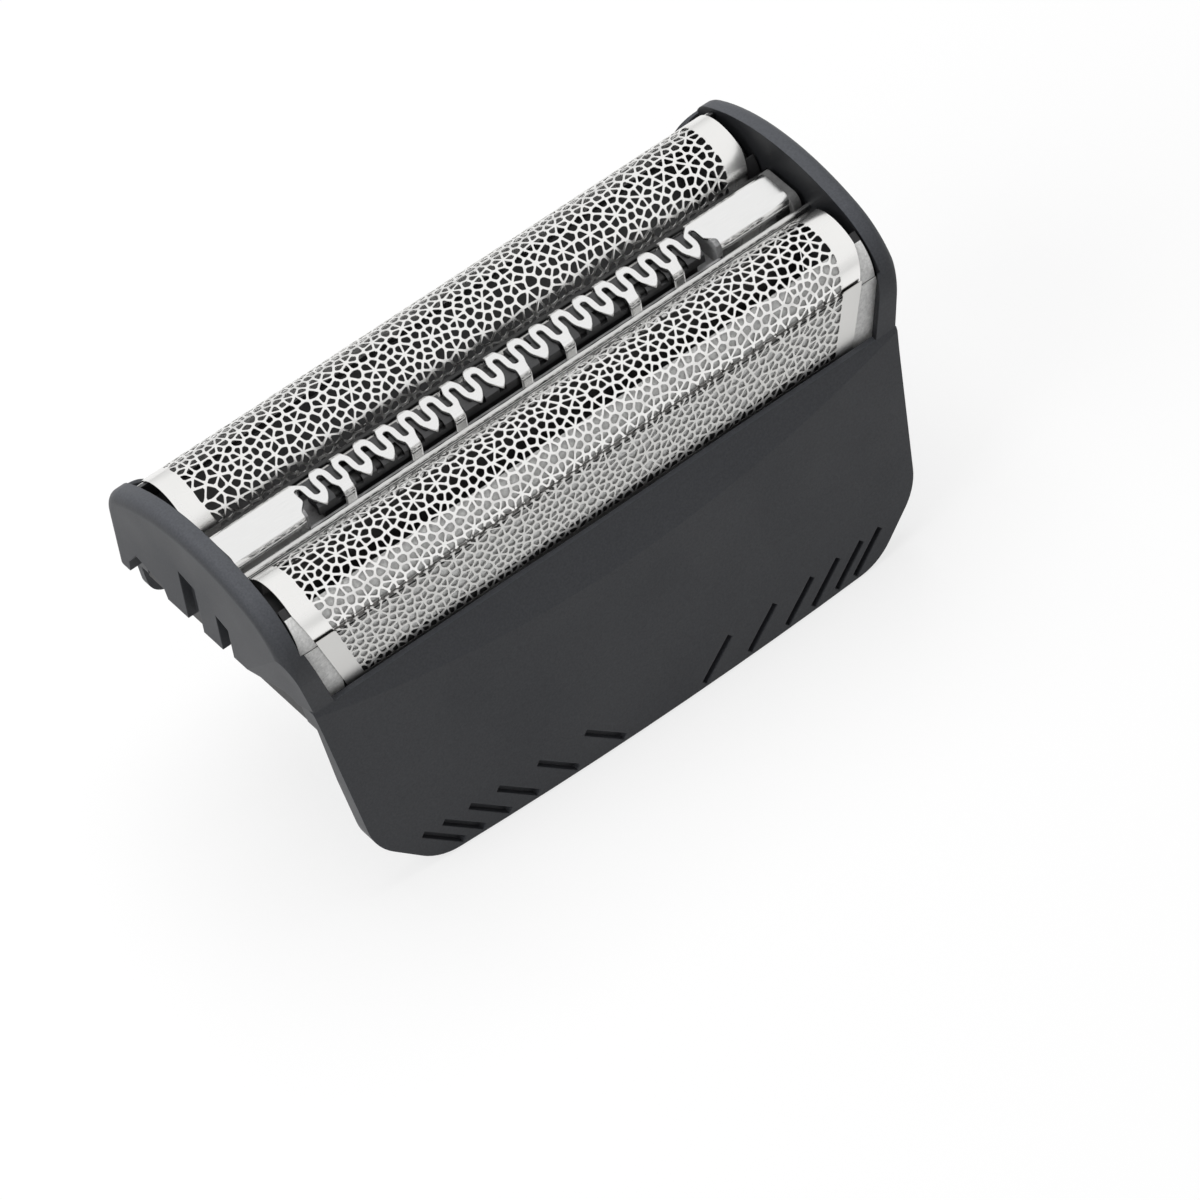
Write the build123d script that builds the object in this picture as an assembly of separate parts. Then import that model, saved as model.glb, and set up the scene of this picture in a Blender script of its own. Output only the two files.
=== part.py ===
from build123d import *
import os
from math import cos, pi, sin, sqrt

# Shaver foil head: a moulded frame that carries two floating foil cassettes and a sprung middle trimmer.

# Overall sizes in millimetres. X runs along the foils, -Y is the front, +Z points at the skin,
# and Z = 0 is the lower edge of the front skirt.
LENGTH = 56.0  # over the two end walls
END_WALL = 1.6  # thickness of an end wall
CROWN_Z = 29.4  # top of the end walls
CROWN_R = 19.5  # radius of the end walls' top
FRONT_SHOULDER_R = 6.5  # rounding between an end wall's top and its front side
REAR_SHOULDER_R = 3.0
RIM_ROUND = 0.9  # rounding of the end walls' outer edge
DRAW_IN = 1.4  # how far the end walls' front corners draw in at the lip
DRAW_DROP = 3.4  # where that starts below the crown
DRAW_REACH = 7.0  # how far back from the front side it runs at the lip

# Foils. They are bent to an arch, and their flanks stand in the frame.
FOIL_Y = 6.6  # centre plane of the head to the centre of a foil
FOIL_R = 3.7  # outer radius of the arch
FOIL_DROP = 1.5  # top of a foil below the crown
FOIL_THICK = 0.15
FOIL_SINK = 2.1  # lower edges of a foil below the lip
CELL_ROWS = 7  # rows of openings round the foil
CELLS_PER_ROW = 8
CELL_RISE = 0.5  # pierced area starts above the lip
CELL_INNER_DEPTH = 0.8  # pierced area on the inner flank, below the arch
CELL_MARGIN = 3.2  # plain band at each end of a foil
END_TAPER = 0.3  # draw-in of the foil's ends for each unit of height
TAPER_DROP = 0.9  # where that starts below the foil's top
FOIL_WALL_GAP = 0.5  # between a foil's end and the end wall
CELL_WEB = 0.7  # width of metal between openings

# Front and rear skirts of the frame.
WALL = 1.5  # thickness of the skirts
LIP_DROP = 10.5  # top edge of the skirts below the crown
LIP_GAP = 0.3  # clearance between lip and foil
LIP_EDGE = 0.5  # width of the lip's top edge
BULGE = 1.1  # how far the skirts bow out at mid length
BEVEL_SLOPE = 2.4  # height over depth of the band between the straight lip and the bowed skirt
FRONT_LEAN = 1.9  # how far the front skirt leans out from lip to foot
REAR_LEAN = 0.6
REAR_SKIRT_DROP = 5.5  # lower edge of the rear skirt below the lip
LEDGE = 1.3  # step in from the end walls to the skirts' ends
WAIST_IN = 1.6  # how far the skirts' ends stand in from the end walls at the waist
WAIST_DROP = 2.3  # waist below the lip
SKIRT_TAPER = 1.4  # further draw-in down to the lower corners
CORNER_Z = 4.2  # height of the front skirt's lower corners
CORNER_CUT = 4.6  # length that the slanting corners take off the lower edge
CORNER_R = 4.5  # rounding of the corners
REAR_CORNER_R = 2.0

# Grip grooves in the front skirt.
GROOVE_AT = (0.24, 0.393, 0.521, 0.611, 0.693, 0.757)  # their upper ends, as shares of the half length
GROOVE_RISE = 3.0  # height of a groove's upper end
GROOVE_FOOT = 0.4  # height of its lower end
GROOVE_LEAN = 1.17  # how far it leans outwards for its height
GROOVE_WIDTH = 0.55
GROOVE_DEPTH = 0.55

# Lower edge of the end walls: a notch at the rear, two latch pads and a wide arch down to the front legs.
BAND_DROP = 9.4  # lower edge of the plain band below the crown
PAD_FALL = 0.3  # latch pads below the band
REAR_PAD_Y = (2.0, 4.5)
FRONT_PAD_Y = (-2.2, 0.1)
PAD_RECESS_DEPTH = 0.8  # depth of the recesses beside the pads
PAD_RECESS_RISE = 4.8  # height of those recesses above the band
PAD_RECESS_SLANT = 0.5
SLIM_RECESS = 1.4  # width of the front recess
NOTCH_Y = (4.8, 9.6)  # rear notch
NOTCH_RISE = 1.6  # its top above the band
PAD_RAMP = 0.4  # slope at the pads' sides
LEG_IN = 1.6  # the front legs stand this far in from the end walls' sides
LEG_CURVE = 1.3  # size of the curve from band to leg
REAR_LEG_FALL = 1.7  # rear legs below the lip
REAR_WEB = (4.0, 6.6)  # length and height above the lip of the rounded webs at the rear lip's ends
FRONT_WEB = (1.6, 6.8)  # the same for the straight webs at the front lip's ends

# Cassettes that carry the foils.
CARRIER_END = 1.6  # thickness of a cassette's end plates
CARRIER_WALL_GAP = 0.15  # between an end plate and the end wall
CARRIER_GAP = 0.05  # between the end plates and the foil over them
RAIL_THICK = 0.6
RAIL_DROP = 0.3  # top of the outer rail below the foil's axis
INNER_RAIL_DROP = 3.9  # top of the inner rail below the foil's axis
RAIL_SINK = 2.5  # rails below the lip
RELIEF = 1.5  # depth of the cut-out at the top of an end plate
RELIEF_Y = (-1.7, 2.8)  # its width, from the foil's axis
FLOAT_UP = 1.0  # travel of a cassette
BOSS_RISE = 2.6  # top of the bosses above the band
BOSS_WIDTH = 2.0  # bosses on the end walls that hold the cassettes
BOSS_HEIGHT = 0.8
BOSS_SIDE_GAP = 0.12
BOSS_BITE = 0.9  # how far a boss stands in from the end wall

# Middle trimmer.
TRIM_DROP = 2.7  # top of the comb below the crown
TRIM_WIDTH = 3.6
TRIM_HEIGHT = 2.5  # height of the comb's sides
TRIM_CORNER_R = 0.8
SHEET = 0.3  # thickness of comb and blade
COMB_PLAIN = 7.3  # plain length at each end of the comb
FINGERS = 18  # fingers along each side
SLOT_WIDTH = 0.55
SLOT_REACH = 2.5  # length of a slot across the comb
SLOT_FLARE = 0.42  # widening of a slot's mouth beside a pointed finger
FLARE_DEPTH = 0.9
TIP_SETBACK = 0.3  # how far the pointed fingers end inside the comb's side
LEG_PATTERN = (False, True, False, False, True)  # which fingers run down into the side walls
REAR_PATTERN_SHIFT = 3  # where the rear fingers start in that pattern
SIDE_WALL = 0.75  # height of the plain strip along the foot of the comb's sides
RUN_GAP = 0.1  # running clearance of the blade
BLADE_STROKE = 0.9  # each way
BLADE_SHORT = 0.8  # blade shorter than the slotted length
BLADE_TEETH = 18
BLADE_SLOT = 0.6
BLADE_LEG = 1.0  # height of the blade's sides
BLADE_RIM = 0.4  # height of the strip along the foot of the blade's sides
BLADE_BEVEL = 0.25  # bevel along the blade's shoulders
BLADE_SPINE = 0.65  # width of the spine that joins the teeth
FLANGE = 0.7  # thickness of the trimmer base below the comb
TONGUE_LENGTH = 4.0
TONGUE_WIDTH = 1.4
TONGUE_DROP = 4.6  # below the base
TONGUE_GAP = 0.2  # round the tongue in the base
FORK_WIDTH = 1.5  # drive fork in the tongue
FORK_DEPTH = 2.6
SLIDER_END_GAP = 0.6  # blade's end to the slider's end
CLIP_THICK = 0.7
CLIP_WALL_GAP = 0.4  # between a clip and the end wall
CLIP_SIDE = 0.3  # clip wider than the comb on each side
CLIP_DROP = 0.2  # clip lower than the comb
KEY_WIDTH = 2.0  # guide key on a clip
KEY_HEIGHT = 2.0
KEY_RISE = 1.3  # top of the key above the comb's foot
KEY_DEPTH = 0.75
KEY_GAP = 0.12  # clearance of the key in its groove
SEAT_WIDTH = 3.0  # spring seats on the end walls
SEAT_THICK = 1.2
SEAT_LENGTH = 10.4
SPRING_WIDTH = 2.2
SPRING_THICK = 0.22
SPRING_LENGTH = 8.4
SPRING_HEAD = 1.5  # height that a spring fills
SPRING_INSET = 0.6  # spring's end from the seat's end

# Steel wires beside the trimmer.
WIRE_R = 0.25
WIRE_SIDE = 0.6  # trimmer's side to the wire's axis
WIRE_DROP = 1.3  # wire's axis below the comb's top
WIRE_SEAT = 0.7  # depth of a wire's hole in the end wall
WIRE_GAP = 0.02

# Sizes that follow from the ones above.
HALF_LENGTH = LENGTH / 2
WALL_X = HALF_LENGTH - END_WALL  # inner face of the end walls
GROOVE_X = [share * HALF_LENGTH for share in GROOVE_AT]
LIP_Z = CROWN_Z - LIP_DROP
LIP_Y = FOIL_Y + FOIL_R + LIP_GAP  # inner face of the lip
HALF_WIDTH = LIP_Y + LIP_EDGE  # centre plane to the side of an end wall
REACH = HALF_WIDTH + BULGE + FRONT_LEAN + REAR_LEAN + WALL  # safely outside the skirts
FOIL_TOP_Z = CROWN_Z - FOIL_DROP
FOIL_AXIS_Z = FOIL_TOP_Z - FOIL_R
FOIL_FOOT_Z = LIP_Z - FOIL_SINK
BAND_Z = CROWN_Z - BAND_DROP
PAD_Z = BAND_Z - PAD_FALL
BOSS_Z = BAND_Z + BOSS_RISE
RAIL_TOP_Z = FOIL_AXIS_Z - RAIL_DROP
RAIL_FOOT_Z = LIP_Z - RAIL_SINK
CARRIER_IN_X = WALL_X - CARRIER_WALL_GAP - CARRIER_END  # inner face of a cassette's end plates
FOIL_LENGTH = 2 * (WALL_X - FOIL_WALL_GAP)
CLIP_X = WALL_X - CLIP_WALL_GAP  # outer face of the clips
TRIM_LENGTH = 2 * (CLIP_X - CLIP_THICK)
COMB_SPAN = TRIM_LENGTH - 2 * COMB_PLAIN  # slotted length
TRIM_TOP_Z = CROWN_Z - TRIM_DROP
COMB_FOOT_Z = TRIM_TOP_Z - TRIM_HEIGHT
BASE_FOOT_Z = COMB_FOOT_Z - FLANGE
SEAT_Z = BASE_FOOT_Z - SPRING_HEAD  # top of the spring seats
PITCH = COMB_SPAN / FINGERS
BLADE_WIDTH = TRIM_WIDTH - 2 * SHEET - 2 * RUN_GAP
BLADE_TOP_Z = TRIM_TOP_Z - SHEET - RUN_GAP
BLADE_LENGTH = COMB_SPAN - BLADE_SHORT
BLADE_ROOM = BLADE_LENGTH / 2 + BLADE_STROKE + RUN_GAP
KEY_TOP_Z = COMB_FOOT_Z + KEY_RISE
WIRE_Y = TRIM_WIDTH / 2 + WIRE_SIDE
WIRE_Z = TRIM_TOP_Z - WIRE_DROP
WIRE_END_X = WALL_X + WIRE_SEAT


def block(x, y, z):
    """A box between the given pairs of limits."""
    size = [high - low for low, high in (x, y, z)]
    centre = [(high + low) / 2 for low, high in (x, y, z)]
    return Pos(*centre) * Box(*size)


def mirrored(shape):
    """A shape and its mirror image at the other end of the head."""
    return shape + mirror(shape, Plane.YZ)


def crown_outline():
    """An end wall seen from the end: crowned top, rounded shoulders and upright sides down to Z = 0."""
    corner_z = CROWN_Z - (CROWN_R - sqrt(CROWN_R**2 - HALF_WIDTH**2))
    with BuildSketch(Plane.YZ) as sketch:
        with BuildLine():
            ThreePointArc((-HALF_WIDTH, corner_z), (0, CROWN_Z), (HALF_WIDTH, corner_z))
            Polyline((HALF_WIDTH, corner_z), (HALF_WIDTH, 0), (-HALF_WIDTH, 0), (-HALF_WIDTH, corner_z))
        make_face()
        for side, radius in ((-1, FRONT_SHOULDER_R), (1, REAR_SHOULDER_R)):
            corner_y = side * HALF_WIDTH
            fillet([v for v in sketch.vertices() if abs(v.X - corner_y) < 1e-6 and v.Y > LIP_Z], radius)
    return sketch.sketch


def end_walls():
    """Both end walls above the lip, still as one block, with their outer edge rounded."""
    body = extrude(crown_outline(), HALF_LENGTH, both=True)
    ends = [e for e in body.edges() if abs(abs(e.center().X) - HALF_LENGTH) < 1e-6 and e.center().Z > 1]
    body = fillet(ends, RIM_ROUND)
    start = Vector(HALF_LENGTH, -HALF_WIDTH, CROWN_Z - DRAW_DROP)
    down = Vector(HALF_LENGTH - DRAW_IN, -HALF_WIDTH, LIP_Z) - start
    back = Vector(HALF_LENGTH, DRAW_REACH - HALF_WIDTH, LIP_Z) - start
    face = Plane(origin=start, x_dir=back, z_dir=down.cross(back))
    body -= mirrored(extrude(face * Rectangle(LENGTH, LENGTH), HALF_LENGTH / 2))
    return body & block((-HALF_LENGTH, HALF_LENGTH), (-REACH, REACH), (LIP_Z, CROWN_Z + 1))


def skirt(side, lean, inset):
    """Half of the frame below the lip, bowed in plan and leaning out towards its foot, drawn in by inset."""
    half = HALF_WIDTH - inset
    with BuildSketch(Plane.XY.offset(LIP_Z)) as sketch:
        with BuildLine():
            ThreePointArc((-HALF_LENGTH, side * half), (0, side * (half + BULGE)), (HALF_LENGTH, side * half))
            Polyline((HALF_LENGTH, side * half), (HALF_LENGTH, 0), (-HALF_LENGTH, 0), (-HALF_LENGTH, side * half))
        make_face()
    fall = (0, side * lean, -LIP_Z)
    return extrude(sketch.sketch, sqrt(lean**2 + LIP_Z**2), dir=fall)


def skirts(inset):
    """Front and rear skirts, still solid."""
    return skirt(-1, FRONT_LEAN, inset) + skirt(1, REAR_LEAN, inset)


def bevel_limit():
    """The space under the slanting bands that run down from the lip's straight edges."""
    far_z = LIP_Z - (REACH - HALF_WIDTH) * BEVEL_SLOPE
    section = Plane.YZ * Polygon(
        (-REACH, -1),
        (REACH, -1),
        (REACH, far_z),
        (HALF_WIDTH, LIP_Z),
        (-HALF_WIDTH, LIP_Z),
        (-REACH, far_z),
        align=None,
    )
    return extrude(section, HALF_LENGTH, both=True)


def skirt_outline(side):
    """A skirt seen from the front: its ends draw in under the end walls and run down to rounded corners."""
    waist_x, waist_z = HALF_LENGTH - WAIST_IN, LIP_Z - WAIST_DROP
    corner_x = waist_x - SKIRT_TAPER
    if side < 0:
        low = [(waist_x, waist_z), (corner_x, CORNER_Z), (corner_x - CORNER_CUT, 0)]
        radii = [2 * CORNER_R, CORNER_R, CORNER_R]
    else:
        low = [(waist_x, waist_z), (waist_x - SKIRT_TAPER / 4, LIP_Z - REAR_SKIRT_DROP)]
        radii = [REAR_CORNER_R / 2, REAR_CORNER_R]
    right = [(HALF_LENGTH - LEDGE, LIP_Z)] + low
    left = [(-x, z) for x, z in reversed(right)]
    with BuildSketch(Plane.XZ) as sketch:
        Polygon(*right, *left, align=None)
        for (x, z), radius in zip(low, radii):
            fillet([v for v in sketch.vertices() if abs(abs(v.X) - x) < 1e-6 and abs(v.Y - z) < 1e-6], radius)
    return extrude(sketch.sketch, -side * REACH)


def end_opening():
    """The space below an end wall's lower edge, seen from the end."""
    leg_y = HALF_WIDTH - LEG_IN
    with BuildSketch(Plane.YZ) as sketch:
        with BuildLine():
            Polyline(
                (-leg_y, -1),
                (REACH, -1),
                (REACH, LIP_Z - REAR_LEG_FALL),
                (NOTCH_Y[1], LIP_Z - REAR_LEG_FALL),
                (NOTCH_Y[1] - PAD_RAMP, BAND_Z),
                (NOTCH_Y[1] - NOTCH_RISE, BAND_Z + NOTCH_RISE),
                (NOTCH_Y[0], BAND_Z + NOTCH_RISE / 2),
                (REAR_PAD_Y[1], PAD_Z),
                (REAR_PAD_Y[0], PAD_Z),
                (REAR_PAD_Y[0] - PAD_RAMP, BAND_Z),
                (FRONT_PAD_Y[1], BAND_Z),
                (FRONT_PAD_Y[1], PAD_Z),
                (FRONT_PAD_Y[0], PAD_Z),
                (FRONT_PAD_Y[0] - PAD_RAMP, BAND_Z),
                (LEG_CURVE - leg_y, BAND_Z),
            )
            CenterArc((LEG_CURVE - leg_y, BAND_Z - LEG_CURVE), LEG_CURVE, 90, 90)
            Line((-leg_y, BAND_Z - LEG_CURVE), (-leg_y, -1))
        make_face()
    return sketch.sketch


def pad_recess(y, rise):
    """A recess with a slanting top in the right-hand end wall's outer face."""
    top_z = BAND_Z + rise
    face = Plane.YZ.offset(HALF_LENGTH - PAD_RECESS_DEPTH)
    section = face * Polygon(
        (y[0], 0), (y[1], 0), (y[1], top_z), (y[0], top_z - PAD_RECESS_SLANT), align=None
    )
    return extrude(section, PAD_RECESS_DEPTH + 1)


def grip_groove(x):
    """A cutter for one slanting grip groove that ends just above the front skirt's lower edge."""
    foot_x = x - GROOVE_LEAN * (GROOVE_RISE - GROOVE_FOOT)
    with BuildSketch(Plane.XZ) as sketch:
        with BuildLine():
            Line((foot_x, GROOVE_FOOT), (x, GROOVE_RISE))
        trace(line_width=GROOVE_WIDTH)
    return extrude(sketch.sketch, REACH)


def lip_webs():
    """The right-hand webs between the end wall and the lips, kept under the wall's shoulders."""
    length, rise = REAR_WEB
    with BuildSketch(Plane.XZ) as rounded:
        with Locations((WALL_X, LIP_Z)):
            Ellipse(length, rise)
    rear = extrude(rounded.sketch, -HALF_WIDTH)
    length, rise = FRONT_WEB
    front = Plane.XZ * Polygon((WALL_X, LIP_Z), (WALL_X, LIP_Z + rise), (WALL_X - length, LIP_Z), align=None)
    webs = rear + extrude(front, HALF_WIDTH)
    webs &= block((0, WALL_X), (-HALF_WIDTH, HALF_WIDTH), (LIP_Z, CROWN_Z))
    return (webs & extrude(crown_outline(), HALF_LENGTH)) - block(
        (0, HALF_LENGTH), (-LIP_Y, LIP_Y), (LIP_Z, CROWN_Z)
    )


def frame():
    """The moulded frame: skirts, end walls, cassette bosses, spring seats and grip grooves."""
    lower = skirts(0) & bevel_limit() & (skirt_outline(-1) + skirt_outline(1))
    body = lower + end_walls()

    # Hollow: the skirts keep their wall, and the top is open between the end walls.
    room = block((-WALL_X, WALL_X), (-REACH, REACH), (-1, LIP_Z))
    mouth = block((-WALL_X, WALL_X), (-LIP_Y, LIP_Y), (-1, LIP_Z))
    top = block((-WALL_X, WALL_X), (-REACH, REACH), (LIP_Z, CROWN_Z + 1))
    body -= (skirts(WALL) & room) + mouth + top

    under = extrude(end_opening(), HALF_LENGTH + 1) - block((0, WALL_X), (-REACH, REACH), (-2, CROWN_Z))
    under += pad_recess((FRONT_PAD_Y[1], REAR_PAD_Y[0]), PAD_RECESS_RISE)
    under += pad_recess((FRONT_PAD_Y[0] - SLIM_RECESS, FRONT_PAD_Y[0]), PAD_RECESS_RISE - SLIM_RECESS)
    body -= mirrored(under)
    body += mirrored(lip_webs())

    grooves = Part() + [grip_groove(x) for x in GROOVE_X]
    body -= mirrored(grooves) - skirts(GROOVE_DEPTH)

    for y in (-FOIL_Y, FOIL_Y):
        boss = block(
            (WALL_X - BOSS_BITE, WALL_X),
            (y - BOSS_WIDTH / 2, y + BOSS_WIDTH / 2),
            (BOSS_Z - BOSS_HEIGHT, BOSS_Z),
        )
        body += mirrored(boss)
    seat = block(
        (WALL_X - SEAT_LENGTH, WALL_X), (-SEAT_WIDTH / 2, SEAT_WIDTH / 2), (SEAT_Z - SEAT_THICK, SEAT_Z)
    )
    body += mirrored(seat)
    key_half = KEY_WIDTH / 2 + KEY_GAP
    key_way = block((WALL_X, CLIP_X + KEY_DEPTH + KEY_GAP), (-key_half, key_half), (SEAT_Z, KEY_TOP_Z))
    body -= mirrored(key_way)
    hole = Cylinder(WIRE_R + WIRE_GAP, 2 * WIRE_END_X, rotation=(0, 90, 0))
    for y in (-WIRE_Y, WIRE_Y):
        body -= Pos(0, y, WIRE_Z) * hole
    return body


def arch(radius, foot_z):
    """The section of a foil, or of what fits inside it: a half circle on two flanks, about the foil's axis."""
    with BuildSketch(Plane.YZ) as sketch:
        with BuildLine():
            Line((-radius, foot_z), (-radius, FOIL_AXIS_Z))
            ThreePointArc((-radius, FOIL_AXIS_Z), (0, FOIL_AXIS_Z + radius), (radius, FOIL_AXIS_Z))
            Polyline((radius, FOIL_AXIS_Z), (radius, foot_z), (-radius, foot_z))
        make_face()
    return sketch.sketch


def place_on_foil(distance):
    """Point and outward angle on the foil's section, at a distance along it from the outer flank's lowest cell."""
    low_z = LIP_Z + CELL_RISE
    flank = FOIL_AXIS_Z - low_z
    if distance < flank:
        return -FOIL_R, low_z + distance, pi
    turn = (distance - flank) / FOIL_R
    if turn < pi:
        return -FOIL_R * cos(turn), FOIL_AXIS_Z + FOIL_R * sin(turn), pi - turn
    return FOIL_R, FOIL_AXIS_Z - (distance - flank - pi * FOIL_R), 0.0


def foil_cells():
    """Cutters for the openings: slots in staggered rows round the section."""
    girth = (FOIL_AXIS_Z - LIP_Z - CELL_RISE) + pi * FOIL_R + CELL_INNER_DEPTH
    row_pitch = girth / CELL_ROWS
    span = FOIL_LENGTH - 2 * CELL_MARGIN
    pitch = span / (CELLS_PER_ROW + 0.5)
    cutters = []
    for row in range(CELL_ROWS):
        y, z, angle = place_on_foil((row + 0.5) * row_pitch)
        normal = (0, cos(angle), sin(angle))
        for k in range(CELLS_PER_ROW):
            x = -span / 2 + (k + 0.5 + 0.5 * (row % 2)) * pitch
            plane = Plane(origin=(x, y, z), x_dir=(1, 0, 0), z_dir=normal)
            slot = plane * Rectangle(pitch - CELL_WEB, row_pitch - CELL_WEB)
            cutters.append(extrude(slot, FOIL_R / 4, both=True))
    return cutters


def foil():
    """A foil about its own axis plane, with its outer flank at -Y."""
    outer = extrude(arch(FOIL_R, FOIL_FOOT_Z), FOIL_LENGTH / 2, both=True)
    inner = extrude(arch(FOIL_R - FOIL_THICK, FOIL_FOOT_Z), FOIL_LENGTH / 2, both=True)
    start_z, fall = FOIL_TOP_Z - TAPER_DROP, FOIL_TOP_Z - FOIL_FOOT_Z
    end_x = FOIL_LENGTH / 2
    taper = Plane.XZ * Polygon(
        (end_x, start_z), (end_x + 1, start_z), (end_x + 1, start_z - fall), (end_x - END_TAPER * fall, start_z - fall),
        align=None,
    )
    ends = mirrored(extrude(taper, 2 * FOIL_R, both=True))
    return (outer - inner) - ends - foil_cells()


def carrier():
    """A cassette frame about the foil's axis plane: two rails between two arched end plates."""
    rail_out = FOIL_R - FOIL_THICK
    plate = extrude(arch(rail_out - CARRIER_GAP, RAIL_FOOT_Z), CARRIER_END)
    crown = extrude(arch(FOIL_R + 1, RAIL_TOP_Z), CARRIER_END)
    crown -= extrude(arch(FOIL_R - RELIEF, RAIL_FOOT_Z), CARRIER_END)
    crown &= block((0, CARRIER_END), RELIEF_Y, (FOIL_AXIS_Z, CROWN_Z))
    window_half = BOSS_WIDTH / 2 + BOSS_SIDE_GAP
    window = block(
        (0, CARRIER_END), (-window_half, window_half), (BOSS_Z - FLOAT_UP - BOSS_HEIGHT, BOSS_Z)
    )
    plate = plate - crown - window
    body = mirrored(Pos(CARRIER_IN_X, 0, 0) * plate)
    for side, top_z in ((-1, RAIL_TOP_Z), (1, FOIL_AXIS_Z - INNER_RAIL_DROP)):
        y = sorted((side * rail_out, side * (rail_out - RAIL_THICK)))
        body += block((-CARRIER_IN_X, CARRIER_IN_X), y, (RAIL_FOOT_Z, top_z))
    return body


def rear_of(shape):
    """The rear cassette's copy of a piece that is drawn for the front one."""
    return Pos(0, FOIL_Y, 0) * mirror(shape, Plane.XZ)


def top_edges(shape):
    """The two long upper edges of a bar that runs along X."""
    return shape.edges().filter_by(Axis.X).group_by(Axis.Z)[-1]


def comb_channel():
    """The comb before it is slotted: an upturned channel with rounded shoulders."""
    half, width = TRIM_LENGTH / 2, TRIM_WIDTH / 2
    outer = block((-half, half), (-width, width), (COMB_FOOT_Z, TRIM_TOP_Z))
    outer = fillet(top_edges(outer), TRIM_CORNER_R)
    width -= SHEET
    hollow = block((-half, half), (-width, width), (COMB_FOOT_Z, TRIM_TOP_Z - SHEET))
    return outer - chamfer(top_edges(hollow), SHEET)


def blade_channel(foot_z):
    """The blade before it is slotted: a narrower channel that clears the comb's bends."""
    half, width = BLADE_LENGTH / 2, BLADE_WIDTH / 2
    outer = block((-half, half), (-width, width), (foot_z, BLADE_TOP_Z))
    outer = chamfer(top_edges(outer), BLADE_BEVEL)
    width -= SHEET
    return outer - block((-half, half), (-width, width), (foot_z, BLADE_TOP_Z - SHEET))


def comb_slot(x, side, wide_mouth):
    """A cutter for one slot that comes in from a side of the comb, flared where pointed fingers stand beside it."""
    reach_y = TRIM_WIDTH / 2 - SLOT_REACH
    edge_y = TRIM_WIDTH / 2 + RUN_GAP
    flare_y = TRIM_WIDTH / 2 - FLARE_DEPTH
    half = SLOT_WIDTH / 2
    left = half + (SLOT_FLARE if wide_mouth[0] else 0)
    right = half + (SLOT_FLARE if wide_mouth[1] else 0)
    outline = Plane.XY.offset(COMB_FOOT_Z + SIDE_WALL) * Polygon(
        (half / 2, reach_y),
        (half, reach_y + half),
        (half, flare_y),
        (right, edge_y),
        (-left, edge_y),
        (-half, flare_y),
        (-half, reach_y + half),
        (-half / 2, reach_y),
        align=None,
    )
    cutter = extrude(outline, TRIM_HEIGHT)
    if side < 0:
        cutter = mirror(cutter, Plane.XZ)
    return Pos(x, 0, 0) * cutter


def finger_has_leg(index):
    return LEG_PATTERN[index % len(LEG_PATTERN)]


def trimmer_comb():
    """The outer comb: a steel channel slotted from both sides in turn, with pointed fingers and bent legs."""
    body = comb_channel()
    cutters = []
    for side, first, count, start in (
        (-1, -COMB_SPAN / 2, FINGERS, 0),
        (1, (PITCH - COMB_SPAN) / 2, FINGERS - 1, REAR_PATTERN_SHIFT),
    ):
        legs = [finger_has_leg(start + k) for k in range(count)]
        for k in range(count + 1):
            beside = (k == 0 or not legs[k - 1], k == count or not legs[k])
            cutters.append(comb_slot(first + k * PITCH, side, beside))
        for k in range(count):
            if legs[k]:
                continue
            x = first + (k + 0.5) * PITCH
            y = sorted((side * (TRIM_WIDTH / 2 - TIP_SETBACK), side * TRIM_WIDTH))
            reach = PITCH / 2
            cutters.append(block((x - reach, x + reach), y, (COMB_FOOT_Z + SIDE_WALL, TRIM_TOP_Z + 1)))
    return body - cutters


def trimmer_blade():
    """The inner blade: a narrower channel with cross slots, free to stroke under the comb."""
    foot_z = BLADE_TOP_Z - BLADE_LEG
    body = blade_channel(foot_z)
    pitch = BLADE_LENGTH / (BLADE_TEETH + 1)
    cutters = []
    for k in range(BLADE_TEETH):
        x = -BLADE_LENGTH / 2 + (k + 1) * pitch
        cutters.append(
            block(
                (x - BLADE_SLOT / 2, x + BLADE_SLOT / 2),
                (-BLADE_WIDTH, BLADE_WIDTH),
                (foot_z + BLADE_RIM, BLADE_TOP_Z + 1),
            )
        )
    # A spine stays along the middle so that the teeth hang together.
    spine = block(
        (-BLADE_LENGTH / 2, BLADE_LENGTH / 2),
        (-BLADE_SPINE / 2, BLADE_SPINE / 2),
        (BLADE_TOP_Z - SHEET, BLADE_TOP_Z),
    )
    return (body - cutters) + spine


def trimmer_base():
    """The moulded bar under the comb: a flange, and a block inside each plain end of the comb."""
    half = TRIM_LENGTH / 2
    body = block((-half, half), (-TRIM_WIDTH / 2, TRIM_WIDTH / 2), (BASE_FOOT_Z, COMB_FOOT_Z))
    width = TRIM_WIDTH - 2 * SHEET
    plug = block((BLADE_ROOM, half), (-width / 2, width / 2), (COMB_FOOT_Z, TRIM_TOP_Z - SHEET))
    plug = chamfer(top_edges(plug), SHEET)
    body += mirrored(plug)
    slot_x = TONGUE_LENGTH / 2 + BLADE_STROKE + TONGUE_GAP
    slot_y = TONGUE_WIDTH / 2 + TONGUE_GAP
    body -= block((-slot_x, slot_x), (-slot_y, slot_y), (BASE_FOOT_Z - 1, COMB_FOOT_Z + 1))
    return body


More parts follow.
